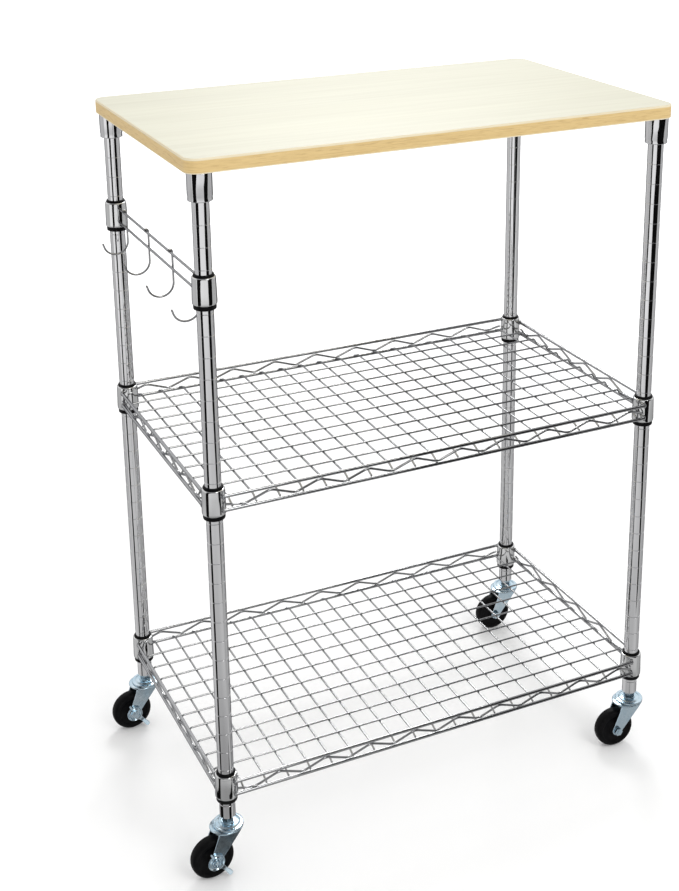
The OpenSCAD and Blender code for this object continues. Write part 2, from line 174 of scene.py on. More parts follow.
def zinc(name):
    """Bluish bright zinc: faint spangle and smoky patches, with tumbling scuffs in the sheen."""
    mat, tree, shader = material(name, 0.2, 1.0)
    shader.inputs["Specular Tint"].default_value = (0.45, 0.52, 0.6, 1)
    vector = object_coords(tree, (1, 1, 1))
    cells = node(tree, "ShaderNodeTexVoronoi", Scale=300.0)
    tree.links.new(vector, cells.inputs["Vector"])
    base = ramp(tree, cells.outputs["Distance"], [
        (0.0, (0.58, 0.72, 0.80)), (0.9, (0.66, 0.79, 0.87))])
    smoke = ramp(tree, noise(tree, vector, 70.0, 4.0), [
        (0.35, (0.50, 0.68, 0.80)), (0.68, (0.78, 0.87, 0.91))])
    blend = noise(tree, vector, 30.0, 2.0)
    tree.links.new(mixed(tree, blend, base, smoke), shader.inputs["Base Color"])
    scuffs = noise(tree, vector, 160.0, 6.0, 0.7)
    tree.links.new(spread(tree, scuffs, 0.08, 0.24), shader.inputs["Roughness"])
    bump(tree, shader, noise(tree, vector, 450.0, 3.0), 0.07, 0.0002)
    return mat


def laminate(name):
    """Cream decor sheet: long faint wood streaks along the width, satin, with a pore texture."""
    mat, tree, shader = material(name, 0.34)
    streak = noise(tree, object_coords(tree, (1.6, 34.0, 1.0)), 3.2, 6.0, 0.62)
    broad = noise(tree, object_coords(tree, (0.7, 6.0, 1.0)), 2.4, 3.0, 0.5)
    fine = noise(tree, object_coords(tree, (9.0, 420.0, 1.0)), 2.0, 4.0, 0.6)
    a = ramp(tree, streak, [(0.34, (0.600, 0.582, 0.442)), (0.62, (0.680, 0.668, 0.528))])
    b = ramp(tree, broad, [(0.36, (0.616, 0.600, 0.466)), (0.66, (0.680, 0.664, 0.520))])
    tree.links.new(mixed(tree, fine, a, b), shader.inputs["Base Color"])
    tree.links.new(spread(tree, fine, 0.28, 0.42), shader.inputs["Roughness"])
    bump(tree, shader, fine, 0.10, 0.0002)
    return mat


def edge_band(name):
    """Tan woodgrain tape: grain runs round the edge, with darker dashes of pore and a painted highlight on
    its rounded upper and lower rims.
    """
    mat, tree, shader = material(name, 0.42)
    grain = noise(tree, object_coords(tree, (7.0, 7.0, 700.0)), 1.6, 6.0, 0.65)
    broad = noise(tree, object_coords(tree, (11.0, 11.0, 160.0)), 1.3, 3.0, 0.5)
    dash = noise(tree, object_coords(tree, (60.0, 60.0, 1500.0)), 1.0, 2.0, 0.5)
    a = ramp(tree, grain, [(0.30, (0.520, 0.355, 0.145)), (0.52, (0.670, 0.480, 0.205)),
                           (0.72, (0.770, 0.580, 0.275))])
    b = ramp(tree, dash, [(0.34, (0.440, 0.280, 0.105)), (0.46, (0.680, 0.495, 0.220))])
    body = mixed(tree, broad, a, b)
    # paler colour for the rims: a painted highlight on the rounded edges
    rim = ramp(tree, grain, [(0.3, (0.70, 0.60, 0.40)), (0.7, (0.80, 0.72, 0.53))])
    split = node(tree, "ShaderNodeSeparateXYZ")
    tree.links.new(object_coords(tree, (1, 1, 1)), split.inputs["Vector"])
    low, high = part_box("tabletop_edge_band")
    # masks for where the painted rim highlight goes, along the top and the bottom of the band
    upper = step_up(tree, split.outputs["Z"], high.z - 0.0030, high.z - 0.0018)
    lower = step_up(tree, split.outputs["Z"], low.z + 0.0016, low.z + 0.0008)
    band_with_rim_highlights = mixed(tree, lower, mixed(tree, upper, body, rim), rim)
    tree.links.new(band_with_rim_highlights, shader.inputs["Base Color"])
    tree.links.new(spread(tree, grain, 0.34, 0.52), shader.inputs["Roughness"])
    bump(tree, shader, grain, 0.25, 0.0003)
    return mat


def board(name, dark, light, scale):
    """Chipboard or kraft paper: mottled flakes."""
    mat, tree, shader = material(name, 0.85)
    flakes = noise(tree, object_coords(tree, (1, 1, 1)), scale, 5.0, 0.7)
    tree.links.new(ramp(tree, flakes, [(0.35, dark), (0.65, light)]), shader.inputs["Base Color"])
    bump(tree, shader, flakes, 0.3, 0.0004)
    return mat


def black_plastic(name, base, rough, pit_scale, pit):
    """Moulded black: eggshell texture, slightly uneven sheen."""
    mat, tree, shader = material(name, rough)
    shader.inputs["Specular IOR Level"].default_value = 0.10
    vector = object_coords(tree, (1, 1, 1))
    dust = ramp(tree, noise(tree, vector, 90.0, 5.0, 0.65), [
        (0.42, base), (0.85, tuple(c + 0.006 for c in base))])
    tree.links.new(dust, shader.inputs["Base Color"])
    tree.links.new(spread(tree, noise(tree, vector, 150.0, 3.0), rough * 0.8, rough * 1.25),
                   shader.inputs["Roughness"])
    bump(tree, shader, noise(tree, vector, pit_scale, 3.0), pit, 0.0002)
    return mat


MATERIALS = {
    "laminate": laminate("laminate_cream"),
    "edge_band": edge_band("edge_band_tan"),
    "board": board("particle_board", (0.30, 0.21, 0.12), (0.52, 0.40, 0.25), 330.0),
    "backing": board("backing_paper", (0.62, 0.57, 0.47), (0.74, 0.70, 0.60), 140.0),
    "chrome_post": chrome("chrome_post", (0.86, 0.86, 0.865), 0.045, (1, 1, 0.2)),
    "chrome_socket": chrome("chrome_socket", (0.84, 0.84, 0.845), 0.05),
    "chrome_collar": chrome("chrome_collar", (0.84, 0.845, 0.84), 0.05),
    # the wires and hooks take darker copies of the same chrome: painted shade, so that their reflections stay
    # grey
    "chrome_wire": chrome("chrome_wire", (0.52, 0.525, 0.53), 0.07),
    "chrome_hook": chrome("chrome_hook", (0.54, 0.54, 0.545), 0.06),
    "sleeve_black": black_plastic("sleeve_black", (0.0016, 0.0016, 0.002), 0.40, 900.0, 0.12),
    "insert_zinc": zinc("insert_zinc"),
    "zinc": zinc("zinc_plate"),
    "bolt_steel": zinc("bolt_steel"),
    "ball_steel": chrome("ball_steel", (0.7, 0.7, 0.7), 0.08),
    "wheel_black": black_plastic("wheel_black", (0.0022, 0.0022, 0.0026), 0.46, 700.0, 0.18),
    "bush": black_plastic("bush_nylon", (0.03, 0.03, 0.03), 0.5, 800.0, 0.1),
}
SLOT_OF = {part["node"]: part["material_slot"] for part in frame["record"]["subparts"]}
BODY_OF = {name: body for body, names in frame["record"]["behaviour"]["bodies"].items() for name in names}


def finish_cad_nodes():
    for name, obj in frame["nodes"].items():
        chosen = MATERIALS[SLOT_OF[name]]
        if not obj.material_slots:
            obj.data.materials.append(chosen)
        for held in obj.material_slots:
            held.material = chosen


# ---------------------------------------------------------------- mesh tools

def piece(name, bm, *nodes, smooth_angle=40, bevel=0.0):
    """Turns a bmesh into a piece that stands for CAD nodes and rides on their body."""
    bmesh.ops.remove_doubles(bm, verts=bm.verts, dist=1e-7)
    bmesh.ops.recalc_face_normals(bm, faces=bm.faces)
    for face in bm.faces:
        face.smooth = True
    mesh = bpy.data.meshes.new(name)
    bm.to_mesh(mesh)
    bm.free()
    mesh.set_sharp_from_angle(angle=math.radians(smooth_angle))
    obj = bpy.data.objects.new(name, mesh)
    bpy.context.scene.collection.objects.link(obj)
    obj.data.materials.append(MATERIALS[SLOT_OF[nodes[0]]])
    if bevel:
        mod = obj.modifiers.new("edge", "BEVEL")
        mod.width = bevel
        mod.segments = 3
        mod.limit_method = "ANGLE"
        mod.angle_limit = math.radians(35)
        mod.harden_normals = False
    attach(obj, BODY_OF[nodes[0]])
    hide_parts(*nodes)
    return obj


def lathe(bm, profile, place=Matrix(), segments=ROUND, closed=True):
    """Turns (radius, height) points about the place's Z axis. A closed profile is a ring's section."""
    rings = []
    for i in range(segments):
        turn = 2 * math.pi * i / segments
        rings.append([bm.verts.new(place @ Vector((r * math.cos(turn), r * math.sin(turn), z)))
                      for r, z in profile])
    count = len(profile)
    last = count if closed else count - 1
    for i in range(segments):
        a, b = rings[i], rings[(i + 1) % segments]
        for j in range(last):
            k = (j + 1) % count
            corners = [a[j], b[j], b[k], a[k]]
            if profile[j][0] < 1e-9:
                corners = [a[j], b[k], a[k]]
            elif profile[k][0] < 1e-9:
                corners = [a[j], b[j], a[k]]
            bm.faces.new(corners)
    return bm


def solid_lathe(bm, profile, place=Matrix(), segments=ROUND):
    """A turned solid whose profile starts and ends on the axis."""
    made = lathe(bm, profile, place, segments, closed=False)
    bmesh.ops.remove_doubles(made, verts=made.verts, dist=1e-7)
    return made


def tube(bm, points, radius, sides=WIRE_SIDES, side=None, cap=0.25):
    """A round wire through points, with slightly rounded ends."""
    points = [Vector(p) for p in points]
    ahead = [(points[min(i + 1, len(points) - 1)] - points[max(i - 1, 0)]).normalized()
             for i in range(len(points))]
    start, end = ahead[0], ahead[-1]
    lip = radius * cap
    path = [points[0], points[0] + start * lip, *points[1:-1], points[-1] - end * lip, points[-1]]
    heading = [start, start, *ahead[1:-1], end, end]
    sizes = [radius - lip, *[radius] * (len(path) - 2), radius - lip]
    across = side or (UP if abs(start.z) < 0.9 else Vector((1, 0, 0)))
    rings = []
    for centre, forward, size in zip(path, heading, sizes):
        u = (across - forward * across.dot(forward)).normalized()
        v = forward.cross(u)
        across = u
        rings.append([bm.verts.new(centre + size * (math.cos(t) * u + math.sin(t) * v))
                      for t in (2 * math.pi * k / sides for k in range(sides))])
    for a, b in zip(rings, rings[1:]):
        for k in range(sides):
            n = (k + 1) % sides
            bm.faces.new([a[k], a[n], b[n], b[k]])
    bm.faces.new(rings[0][::-1])
    bm.faces.new(rings[-1])
    return bm


def rounded(points, radius, steps=6):
    """A path of straight runs with each inner corner turned by a quadratic curve of about that radius."""
    points = [Vector(p) for p in points]
    path = [points[0]]
    for before, here, after in zip(points, points[1:], points[2:]):
        back = before - here
        on = after - here
        trim = min(radius, back.length * 0.49, on.length * 0.49)
        a = here + back.normalized() * trim
        b = here + on.normalized() * trim
        path += [a.lerp(here, t).lerp(here.lerp(b, t), t) for t in (k / steps for k in range(steps + 1))]
    path.append(points[-1])
    return path


def arc(cx, cy, radius, start, end, steps):
    """(x, y) points along an arc, angles in degrees."""
    turns = [math.radians(start + (end - start) * k / steps) for k in range(steps + 1)]
    return [(cx + radius * math.cos(t), cy + radius * math.sin(t)) for t in turns]


def slab(bm, outline, low, high, place=Matrix()):
    """A flat plate with that (x, y) outline between two heights."""
    bottom = [bm.verts.new(place @ Vector((x, y, low))) for x, y in outline]
    top = [bm.verts.new(place @ Vector((x, y, high))) for x, y in outline]
    bm.faces.new(bottom[::-1])
    bm.faces.new(top)
    for i in range(len(outline)):
        j = (i + 1) % len(outline)
        bm.faces.new([bottom[i], bottom[j], top[j], top[i]])
    return bm


def strip(bm, stations, face, thick, place):
    """A bent flat strip along the place's X axis: (distance, lift, half width) stations."""
    rings = [[bm.verts.new(place @ Vector((x, side * half, face + lift + up)))
              for side, up in ((-1, 0), (1, 0), (1, thick), (-1, thick))]
             for x, lift, half in stations]
    for a, b in zip(rings, rings[1:]):
        for k in range(4):
            n = (k + 1) % 4
            bm.faces.new([a[k], a[n], b[n], b[k]])
    bm.faces.new(rings[0][::-1])
    bm.faces.new(rings[-1])
    return bm


def centre_of(name):
    low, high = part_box(name)
    return (low + high) / 2


POST = {c: centre_of("post_" + c) for c in CORNERS}
POST_R = (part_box("post_fl")[1].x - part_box("post_fl")[0].x) / 2


# ---------------------------------------------------------------- top

def rounded_rectangle(low, high, radius, steps=12):
    x0, y0, x1, y1 = low.x, low.y, high.x, high.y
    r = radius
    return (arc(x1 - r, y1 - r, r, 0, 90, steps) + arc(x0 + r, y1 - r, r, 90, 180, steps)
            + arc(x0 + r, y0 + r, r, 180, 270, steps) + arc(x1 - r, y0 + r, r, 270, 360, steps))


def make_top():
    low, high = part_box("tabletop_edge_band")
    sheet_low, sheet_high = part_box("tabletop_laminate")
    band = sheet_low.x - low.x
    height = high.z - low.z
    corner = 0.015
    # the laminate meets the band in a fine joint line
    bm = bmesh.new()
    slab(bm, rounded_rectangle(sheet_low, sheet_high, corner - band), sheet_low.z, sheet_high.z)
    piece("laminate_sheet", bm, "tabletop_laminate", bevel=0.00015)
    # the band is a closed sweep round the top with a rounded upper rim and an eased lower one
    ease = 0.0004
    rim = 0.0016
    inward = rim * 0.62
    section = [(0, 0), (band - ease, 0), (band, ease), (band, height - rim)]
    section += [(band - inward * (1 - math.cos(t)), height - rim * (1 - math.sin(t)))
                for t in (math.radians(15 * k) for k in range(1, 7))]
    section += [(0, height)]
    loops = []
    for out, up in section:
        inset = band - out
        loops.append([Vector((x, y, low.z + up)) for x, y in rounded_rectangle(
            Vector((low.x + inset, low.y + inset, 0)), Vector((high.x - inset, high.y - inset, 0)),
            corner - inset)])
    bm = bmesh.new()
    rings = [[bm.verts.new(p) for p in loop] for loop in loops]
    for i in range(len(rings)):
        a, b = rings[i], rings[(i + 1) % len(rings)]
        for k in range(len(a)):
            n = (k + 1) % len(a)
            bm.faces.new([a[k], a[n], b[n], b[k]])
    piece("edge_band", bm, "tabletop_edge_band")


# ---------------------------------------------------------------- posts and sockets

def groove_heights():
    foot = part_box("lower_shelf_collars")[0].z
    step = (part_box("upper_shelf_collars")[0].z - foot) / GROOVE_STEPS
    return foot + GRIP - step, step


def make_post(c):
    low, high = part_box("post_" + c)
    first, step = groove_heights()
    wall = 0.0012
    ease = 0.0006
    profile = [(POST_R - wall, low.z), (POST_R - ease, low.z), (POST_R, low.z + ease)]
    z = first
    while z < high.z - BARE_TOP:
        # (depth, height) across one groove, its flank first
        groove = [(0, -0.0016), (0, -GROOVE_HALF), (GROOVE_DEPTH * 0.35, -GROOVE_HALF * 0.7),
                  (GROOVE_DEPTH, -GROOVE_HALF * 0.3)]
        groove += [(depth, -up) for depth, up in reversed(groove)]
        profile += [(POST_R - depth, z + up) for depth, up in groove]
        z += step
    profile += [(POST_R, high.z), (POST_R - wall, high.z)]
    bm = lathe(bmesh.new(), profile, Matrix.Translation((POST[c].x, POST[c].y, 0)), 96)
    piece("post_tube_" + c, bm, "post_" + c, smooth_angle=30)


def make_socket(c):
    low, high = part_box("top_socket_" + c)
    x, y = POST[c].x, POST[c].y
    place = Matrix.Translation((x, y, 0))
    bore = POST_R + SLIDE
    flange = 0.0016
    body = COLLAR_R
    roll = 0.0009
    profile = [(bore, low.z + 0.0006), (bore + 0.0006, low.z)]
    profile += [(r, z) for r, z in arc(body - 0.0003 - roll, low.z + roll, roll, -90, 0, 5)]
    profile += [(body - 0.0006, low.z + 0.004), (body - 0.0001, low.z + 0.006)]
    profile += [(body, high.z - flange), (body, high.z), (bore, high.z)]
    bm = lathe(bmesh.new(), profile, place)
    inward = math.atan2(-y, -x * 0.6)
    turn = place @ Matrix.Rotation(inward, 4, "Z")
    reach = 0.023
    ear = 0.005
    wide = 0.009
    outline = (arc(reach, wide, ear, 90, 0, 8) + arc(reach, -wide, ear, 0, -90, 8)
               + [(0.004, -0.0112), (0.004, 0.0112)])
    slab(bm, outline[::-1], high.z - flange, high.z - 0.00003, turn)
    piece("socket_cup_" + c, bm, "top_socket_" + c, bevel=0.00025)


# ---------------------------------------------------------------- collars and sleeves

def make_collars(group, corners):
    low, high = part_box(group + "_collars")
    rim = COLLAR_R
    mouth = 0.0118
    bore = 0.0126
    bm = bmesh.new()
    for c in corners:
        profile = [(bore, low.z + 0.0004), (bore + 0.0004, low.z)]
        profile += arc(rim - 0.0012, low.z + 0.0010, 0.0010, -90, 0, 5)
        profile += [(rim - 0.00005, low.z + 0.0030), (rim - 0.0006, high.z - 0.0045),
                    (rim - 0.0007, high.z - 0.0022)]
        profile += arc(rim - 0.0022, high.z - 0.0015, 0.0015, 0, 90, 6)
        profile += [(mouth, high.z - 0.0001), (mouth - 0.0002, high.z - 0.0006)]
        lathe(bm, profile, Matrix.Translation((POST[c].x, POST[c].y, 0)))
    piece(group + "_collar_rings", bm, group + "_collars", smooth_angle=50)


def make_sleeves(group, corners):
    """Each half is its own closed shell, so the slit shows on the band below the collar."""
    low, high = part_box(group + "_sleeves")
    foot = 0.0126
    head = 0.0114
    bore = POST_R + SLIDE
    half_slit = 0.0004
    bm = bmesh.new()
    profile = [(bore, low.z), (foot - 0.0009, low.z), (foot - 0.0003, low.z + 0.0003), (foot, low.z + 0.001),
               (foot, low.z + 0.0056), (head + 0.0001, high.z - 0.0028), (head, high.z - 0.0007),
               (head - 0.0003, high.z - 0.00015), (head - 0.0007, high.z), (bore, high.z)]
    steps = 30
    for c in corners:
        for flip in (0, math.pi):
            rings = []
            for i in range(steps + 1):
                ring = []
                for r, z in profile:
                    gap = math.asin(half_slit / r)
                    turn = flip + gap + (math.pi - 2 * gap) * i / steps
                    ring.append(bm.verts.new((POST[c].x + r * math.cos(turn),
                                              POST[c].y + r * math.sin(turn), z)))
                rings.append(ring)
            count = len(profile)
            for a, b in zip(rings, rings[1:]):
                for j in range(count):
                    k = (j + 1) % count
                    bm.faces.new([a[j], b[j], b[k], a[k]])
            bm.faces.new(rings[0])
            bm.faces.new(rings[-1][::-1])
    piece(group + "_split_sleeves", bm, group + "_sleeves", smooth_angle=45)


# ---------------------------------------------------------------- shelf wires

STOP_X = 0.007                  # how far short of a post's axis the front and back rods end
STOP_Y = 0.0112                 # the same for the side rods


def weld(bm, at, towards):
    """A small lumpy bead where a rod's end meets its collar."""
    for side, size in ((-1, 0.0019), (0, 0.0023), (1, 0.0018)):
        centre = at + towards * 0.0004 + UP * (side * 0.0016)
        profile = [(0, -size)] + [(size * math.cos(t), size * math.sin(t))
                                  for t in (math.radians(a) for a in range(-60, 61, 20))] + [(0, size)]
        solid_lathe(bm, profile, Matrix.Translation(centre), 14)


def make_edge_rods(group):
    low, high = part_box(group + "_edge_rods")
    bm = bmesh.new()
    for z in (low.z + ROD_R, high.z - ROD_R):
        for y in (low.y + ROD_R, high.y - ROD_R):
            ends = Vector((POST["fl"].x + STOP_X, y, z)), Vector((POST["fr"].x - STOP_X, y, z))
            tube(bm, ends, ROD_R, 18)
            weld(bm, ends[0], Vector((0, math.copysign(1, -y), 0)))
            weld(bm, ends[1], Vector((0, math.copysign(1, -y), 0)))
        for x in (low.x + ROD_R, high.x - ROD_R):
            ends = Vector((x, POST["fl"].y + STOP_Y, z)), Vector((x, POST["bl"].y - STOP_Y, z))
            tube(bm, ends, ROD_R, 18)
            weld(bm, ends[0], Vector((0, -1, 0)))
            weld(bm, ends[1], Vector((0, 1, 0)))
    piece(group + "_edge_rods_round", bm, group + "_edge_rods")


def zigzag(half, first, low, high, step=0.0302):
    """Valleys and peaks along a run from -half to half; the first valley is at -first."""
    path = [(-half + 0.002, low + 0.004)]
    x, up = -first, False
    while x < half - 0.004 + 1e-6:
        path.append((x, high if up else low))
        x += step
        up = not up
    path.append((half - 0.002, low + 0.004))
    return path


def make_truss(group):
    rods_low, rods_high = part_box(group + "_edge_rods")
    sink = 0.0003
    low = rods_low.z + 2 * ROD_R + TRUSS_R - sink
    high = rods_high.z - 2 * ROD_R - TRUSS_R + sink
    bm = bmesh.new()
    runs = ((0, POST["fr"].x - STOP_X, 0.2554, -rods_low.y - ROD_R),
            (90, POST["bl"].y - STOP_Y, 0.1073, rods_high.x - ROD_R))
    for angle, half, first, out in runs:
        for flip in (0, 180):
            turn = Matrix.Rotation(math.radians(angle + flip), 4, "Z")
            path = [turn @ Vector((x, -out, z)) for x, z in zigzag(half, first, low, high)]
            tube(bm, rounded(path, 0.0055, 7), TRUSS_R, 12, turn @ Vector((0, 1, 0)))
    piece(group + "_truss_zigzag", bm, group + "_truss_wires", smooth_angle=60)


def make_mesh_wires(group, name, count, along_x):
    """Wires that lie level and bend down onto the lower edge rods at both ends."""
    low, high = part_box(f"{group}_{name}")
    level = high.z - MESH_R
    drop = low.z + MESH_R
    bend = 0.0064 if along_x else 0.0150
    bm = bmesh.new()
    if along_x:
        ends, first, last = (low.x, high.x), low.y + MESH_R, high.y - MESH_R
    else:
        ends, first, last = (low.y, high.y), low.x + MESH_R, high.x - MESH_R
    for i in range(count):
        across = first + (last - first) * i / (count - 1)
        run = [(ends[0], drop + 0.0001), (ends[0] + 0.0018, drop + 0.0003), (ends[0] + bend * 0.8, level),
               (ends[1] - bend * 0.8, level), (ends[1] - 0.0018, drop + 0.0003), (ends[1], drop + 0.0001)]
        path = [(u, across, z) if along_x else (across, u, z) for u, z in run]
        tube(bm, rounded(path, 0.0022, 5), MESH_R, 10, Vector((0, 1, 0)) if along_x else Vector((1, 0, 0)))
    piece(f"{group}_{name}_round", bm, f"{group}_{name}", smooth_angle=60)


# ---------------------------------------------------------------- hook rail

def make_rail():
    low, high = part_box("hook_rail_wires")
    x = POST["fl"].x
    bm = bmesh.new()
    for z in (low.z + RAIL_R, high.z - RAIL_R):
        tube(bm, [(x, low.y, z), (x, high.y, z)], RAIL_R, 18)
    piece("hook_rail_round_wires", bm, "hook_rail_wires")


def make_hook(i):
    name = f"hook_{i}"
    low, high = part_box(name)
    y = (low.y + high.y) / 2
    rail_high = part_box("hook_rail_wires")[1].z - RAIL_R
    curl = RAIL_R + HOOK_R + SLIDE
    bend = 0.0154
    bend_z = rail_high - 0.036
    x = POST["fl"].x
    shank = x + curl
    path = [(px, y, pz) for px, pz in arc(x, rail_high, curl, 150, 0, 16)]
    path += [(shank, y, rail_high - 0.012), (shank, y, rail_high - 0.024)]
    path += [(px, y, pz) for px, pz in arc(shank - bend, bend_z, bend, 0, -165, 26)]
    tip = Vector(path[-1]) + Vector((-0.0015, 0, 0.0042))
    path.append(tuple(tip))
    bm = tube(bmesh.new(), path, HOOK_R, 16, Vector((0, 1, 0)))
    piece(f"j_hook_{i}", bm, name, smooth_angle=60)


# ---------------------------------------------------------------- casters

def trail_frame(c):
    """Swivel axis at the post, +X towards the wheel's axle."""
    axle = centre_of("wheel_" + c)
    x, y = POST[c].x, POST[c].y
    angle = math.atan2(axle.y - y, axle.x - x)
    return Matrix.Translation((x, y, 0)) @ Matrix.Rotation(angle, 4, "Z"), math.hypot(axle.x - x, axle.y - y)


def axle_frame(c):
    """+Z along the axle, towards the side with the bolt head, from the wheel's middle."""
    turn, trail = trail_frame(c)
    return turn @ Matrix.Translation((trail, 0, AXLE_Z)) @ Matrix.Rotation(math.radians(-90), 4, "X")


def make_wheel(c):
    low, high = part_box("wheel_" + c)
    rim = (high.z - low.z) / 2
    half = 0.009
    side = [(0.0050, half), (0.0086, half), (0.0092, half - 0.0006), (0.0098, half - 0.0021),
            (0.0106, half - 0.0026), (rim - 0.0085, half - 0.0026), (rim - 0.0074, half - 0.0020),
            (rim - 0.0066, half - 0.0009), (rim - 0.0055, half - 0.0006), (rim - 0.0040, half - 0.0008)]
    tread = [(rim - 0.0022, half - 0.0019), (rim - 0.0010, half - 0.0033), (rim - 0.0003, half - 0.0052),
             (rim, half - 0.0075)]
    profile = side + tread + [(r, -z) for r, z in reversed(side + tread)]
    bm = lathe(bmesh.new(), profile, axle_frame(c), 96)
    piece("wheel_tyre_" + c, bm, "wheel_" + c, smooth_angle=50)


def fork_outline(trail):
    """One leg seen from the side: as wide as the crown at the top, tapering to a round eye at the axle."""
    eye = 0.007
    back, ahead = 0.0125, 0.0165
    points = [(ahead, CROWN_Z), (-back, CROWN_Z), (-back, CROWN_Z - 0.0016),
              (-back + 0.0030, CROWN_Z - 0.0064)]
    points += arc(trail, AXLE_Z, eye, 207, 368, 18)
    points += [(ahead + 0.0006, CROWN_Z - 0.0024)]
    return points


def crown_outline():
    """Round over the swivel axis, reaching forward over the wheel."""
    ahead = 0.005
    return arc(0, 0, CROWN_R, 90, 270, 32) + arc(ahead, 0, CROWN_R, -90, 90, 32)


def ring_plate(bm, outline, bore, low, high, place):
    """A plate with an outer outline and a round bore."""
    holes = []
    for x, y in outline:
        a = math.atan2(y, x)
        holes.append((bore * math.cos(a), bore * math.sin(a)))
    edge = 0.0008
    middle = [sum(p[k] for p in outline) / len(outline) for k in (0, 1)]

    def shrunk(by):
        made = []
        for x, y in outline:
            d = Vector((x - middle[0], y - middle[1]))
            d -= d.normalized() * by
            made.append((middle[0] + d.x, middle[1] + d.y))
        return made

    lip = edge * 0.3
    loops = [(holes, low), (shrunk(edge), low), (shrunk(lip), low + lip), (outline, low + edge),
             (outline, high - edge), (shrunk(lip), high - lip), (shrunk(edge), high), (holes, high)]
    rings = [[bm.verts.new(place @ Vector((x, y, z))) for x, y in loop] for loop, z in loops]
    for i in range(len(rings)):
        a, b = rings[i], rings[(i + 1) % len(rings)]
        for k in range(len(a)):
            n = (k + 1) % len(a)
            bm.faces.new([a[k], a[n], b[n], b[k]])
    return bm


def make_fork(c):
    turn, trail = trail_frame(c)
    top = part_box("fork_" + c)[1].z
    sheet = 0.0026
    bm = bmesh.new()
    ring_plate(bm, crown_outline(), STEM_BORE, top - sheet, top, turn)
    for s in (-1, 1):
        stand = turn @ Matrix.Translation((0, s * (LEG_IN + LEG_T / 2), 0)) @ Matrix.Rotation(
            math.radians(90), 4, "X")
        slab(bm, fork_outline(trail), -LEG_T / 2, LEG_T / 2, stand)
    piece("fork_legs_" + c, bm, "fork_" + c, bevel=0.0005, smooth_angle=35)


def hexagon(flats, turn=0.0):
    r = flats / 2 / math.cos(math.radians(30))
    return [(r * math.cos(math.radians(60 * k + turn)), r * math.sin(math.radians(60 * k + turn)))
            for k in range(6)]


def head_is_plus(c):
    """True where the axle frame's +Z points to the side of the CAD bolt's head."""
    head = centre_of("axle_bolt_" + c) - centre_of("wheel_" + c)
    return (axle_frame(c).to_3x3() @ UP).dot(head) > 0


def make_axle(c):
    """Bolt with a domed head, outside the brake lever if there is one, and a hex nut on the far side."""
    axle = axle_frame(c)
    lever = 0.0022 if "brake_lever_" + c in frame["nodes"] else 0.0
    head = LEG_IN + LEG_T + lever
    end = -(LEG_IN + LEG_T + 0.0052)
    flip = axle @ Matrix.Rotation(math.pi, 4, "X")
    bm = bmesh.new()
    r = 0.003
    profile = [(0, end), (r - 0.0004, end), (r, end + 0.0005), (r, head)]
    profile += [(out, head + up) for out, up in (
        (0.0052, 0), (0.0055, 0.0004), (0.0053, 0.0010), (0.0045, 0.0014), (0.0040, 0.0012), (0.0036, 0.0004),
        (0.0031, 0.0004), (0.0027, 0.0018), (0.0018, 0.0028), (0, 0.0030))]
    place = axle if head_is_plus(c) else flip
    solid_lathe(bm, profile, place)
    piece("axle_bolt_round_" + c, bm, "axle_bolt_" + c, smooth_angle=45)
    bm = bmesh.new()
    low = -(LEG_IN + LEG_T)
    slab(bm, hexagon(0.0099), low - 0.0045, low - 0.00002, place)
    piece("axle_hex_nut_" + c, bm, "axle_nut_" + c, bevel=0.0005)


def make_brake(c):
    """Stamped lever: a dished disc round the axle, a foot tab below and a release ear above."""
    axle = axle_frame(c)
    face = LEG_IN + LEG_T + 0.0001
    t = 0.0015
    r = 0.0108
    bore = 0.00305
    bm = bmesh.new()
    profile = [(bore, face), (r - 0.0005, face), (r, face + 0.0006)]
    profile += [(r - inward, face + t + up) for inward, up in (
        (0, 0.0006), (0.0004, 0.0010), (0.0010, 0.0006), (0.0020, -0.0006), (0.0030, -0.0007), (0.0038, 0),
        (0.0044, 0.0005), (0.0052, 0.0005))]
    profile += [(bore, face + t + 0.0005)]
    lathe(bm, profile, axle)
    foot = ((0.0078, 0, 0.0036), (0.0120, 0, 0.0030), (0.0165, 0, 0.0022), (0.0200, 0.0006, 0.0023),
            (0.0230, 0.0016, 0.0028), (0.0258, 0.0025, 0.0030), (0.0274, 0.0030, 0.0024),
            (0.0280, 0.0031, 0.0013))
    ear = ((0.0056, 0.0006, 0.0016), (0.0082, 0.0010, 0.0014), (0.0110, 0.0016, 0.0013),
           (0.0140, 0.0024, 0.0013), (0.0163, 0.0030, 0.0012), (0.0170, 0.0031, 0.0007))
    for angle, stations in ((131, foot), (-64, ear)):
        strip(bm, stations, face + 0.0001, t - 0.0002, axle @ Matrix.Rotation(math.radians(angle), 4, "Z"))
    piece("brake_stamping_" + c, bm, "brake_lever_" + c, bevel=0.0004, smooth_angle=38)


